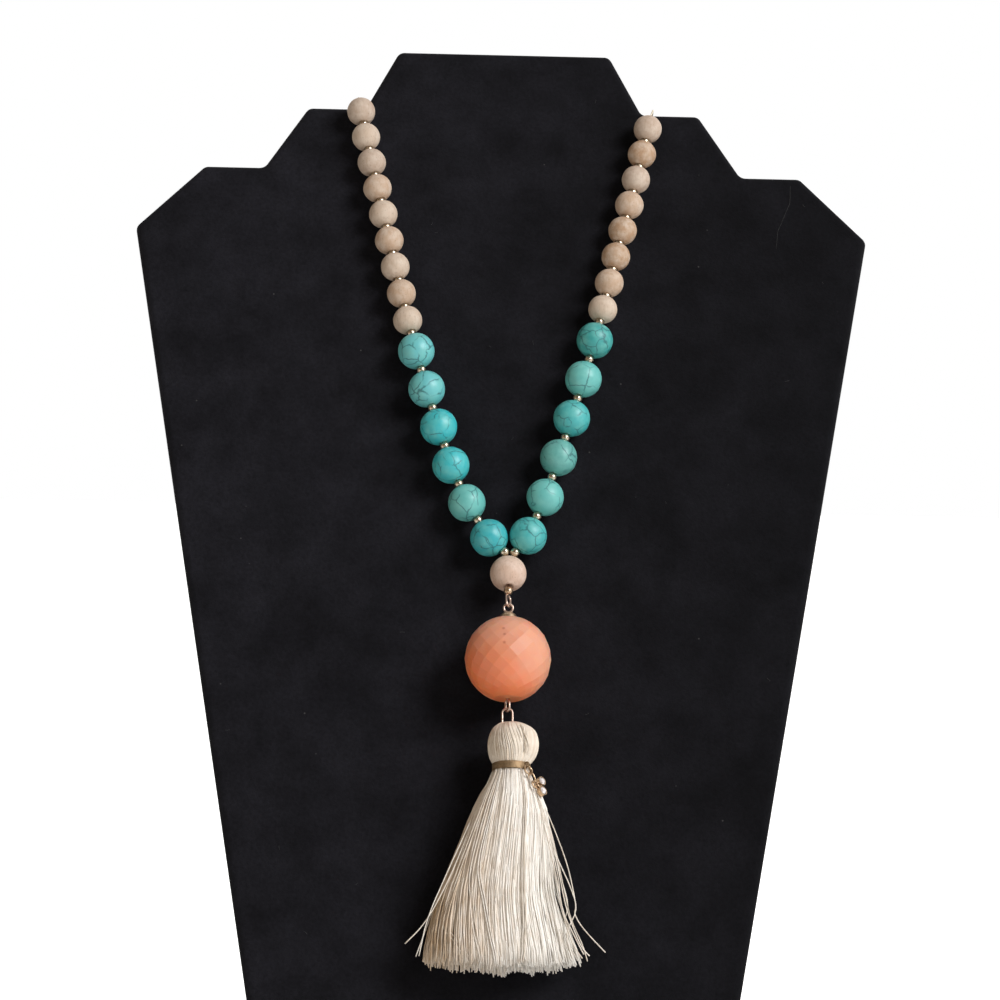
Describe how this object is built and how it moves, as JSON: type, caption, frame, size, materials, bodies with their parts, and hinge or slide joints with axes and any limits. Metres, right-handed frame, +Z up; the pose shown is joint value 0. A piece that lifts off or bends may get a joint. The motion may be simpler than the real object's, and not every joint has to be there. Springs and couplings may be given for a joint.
{
  "type": "tassel necklace on a neck display stand",
  "caption": "Long beaded necklace of wood and turquoise beads with a faceted drop and a silky tassel, hung on a black velvet neck display board that leans on an easel leg.",
  "frame": {"origin": "middle of the footprint, on the surface that the stand rests on", "axes": "+Z up, the front of the display towards -Y, +X to the viewer's right"},
  "size_m": [0.2052, 0.135, 0.2988],
  "materials": {
    "velvet": "short black velvet pile over board",
    "turquoise": "polished, with fine dark veins",
    "wood": "turned, unvarnished, matte",
    "joint_wood": "turned, pinkish, matte",
    "beading_wire": "coated stranded beading wire",
    "gold": "pale gold plated, polished",
    "band": "antique gold plated, satin",
    "copper": "rose gold plated wire",
    "peach_stone": "polished and softly faceted, slightly translucent",
    "silk": "ivory silky thread",
    "crystal": "cut and polished"
  },
  "bodies": {
    "root": {"display_board": "velvet", "easel_leg": "velvet", "stone_left_1": "turquoise", "stone_left_2": "turquoise", "stone_left_3": "turquoise", "stone_left_4": "turquoise", "stone_left_5": "turquoise", "stone_left_6": "turquoise", "wood_left_1": "wood", "wood_left_2": "wood", "wood_left_3": "wood", "wood_left_4": "wood", "wood_left_5": "wood", "wood_left_6": "wood", "wood_left_7": "wood", "wood_left_8": "wood", "wood_left_9": "wood", "stone_right_1": "turquoise", "stone_right_2": "turquoise", "stone_right_3": "turquoise", "stone_right_4": "turquoise", "stone_right_5": "turquoise", "stone_right_6": "turquoise", "wood_right_1": "wood", "wood_right_2": "wood", "wood_right_3": "wood", "wood_right_4": "wood", "wood_right_5": "wood", "wood_right_6": "wood", "wood_right_7": "wood", "wood_right_8": "wood", "joint_bead": "joint_wood", "spacers_left": "gold", "spacers_right": "gold", "wire_left": "beading_wire", "wire_right": "beading_wire", "crimp_left": "gold", "crimp_right": "gold", "chain_left": "gold", "chain_right": "gold", "clasp": "gold", "end_bead": "gold", "hanging_loop": "copper"},
    "drop": {"drop_cap": "gold", "drop_pin": "copper", "focal_bead": "peach_stone"},
    "tassel": {"tassel_ring": "copper", "tassel": "silk", "tassel_band": "band", "charm_ring_1": "copper", "charm_link": "gold", "charm_ring_2": "gold", "charm_cup_1": "gold", "charm_cup_2": "gold", "rhinestone_1": "crystal", "rhinestone_2": "crystal"}
  },
  "joints": [
    {"name": "drop_swing", "type": "hinge", "parent": "root", "child": "drop", "pos_m": [0.0024, -0.02821, 0.14129], "axis": [0, -0.9397, 0.342], "range_deg": [-45, 45]},
    {"name": "tassel_swing", "type": "hinge", "parent": "drop", "child": "tassel", "pos_m": [0.0024, -0.03777, 0.11501], "axis": [0, -0.9397, 0.342], "range_deg": [-40, 40]}
  ]
}
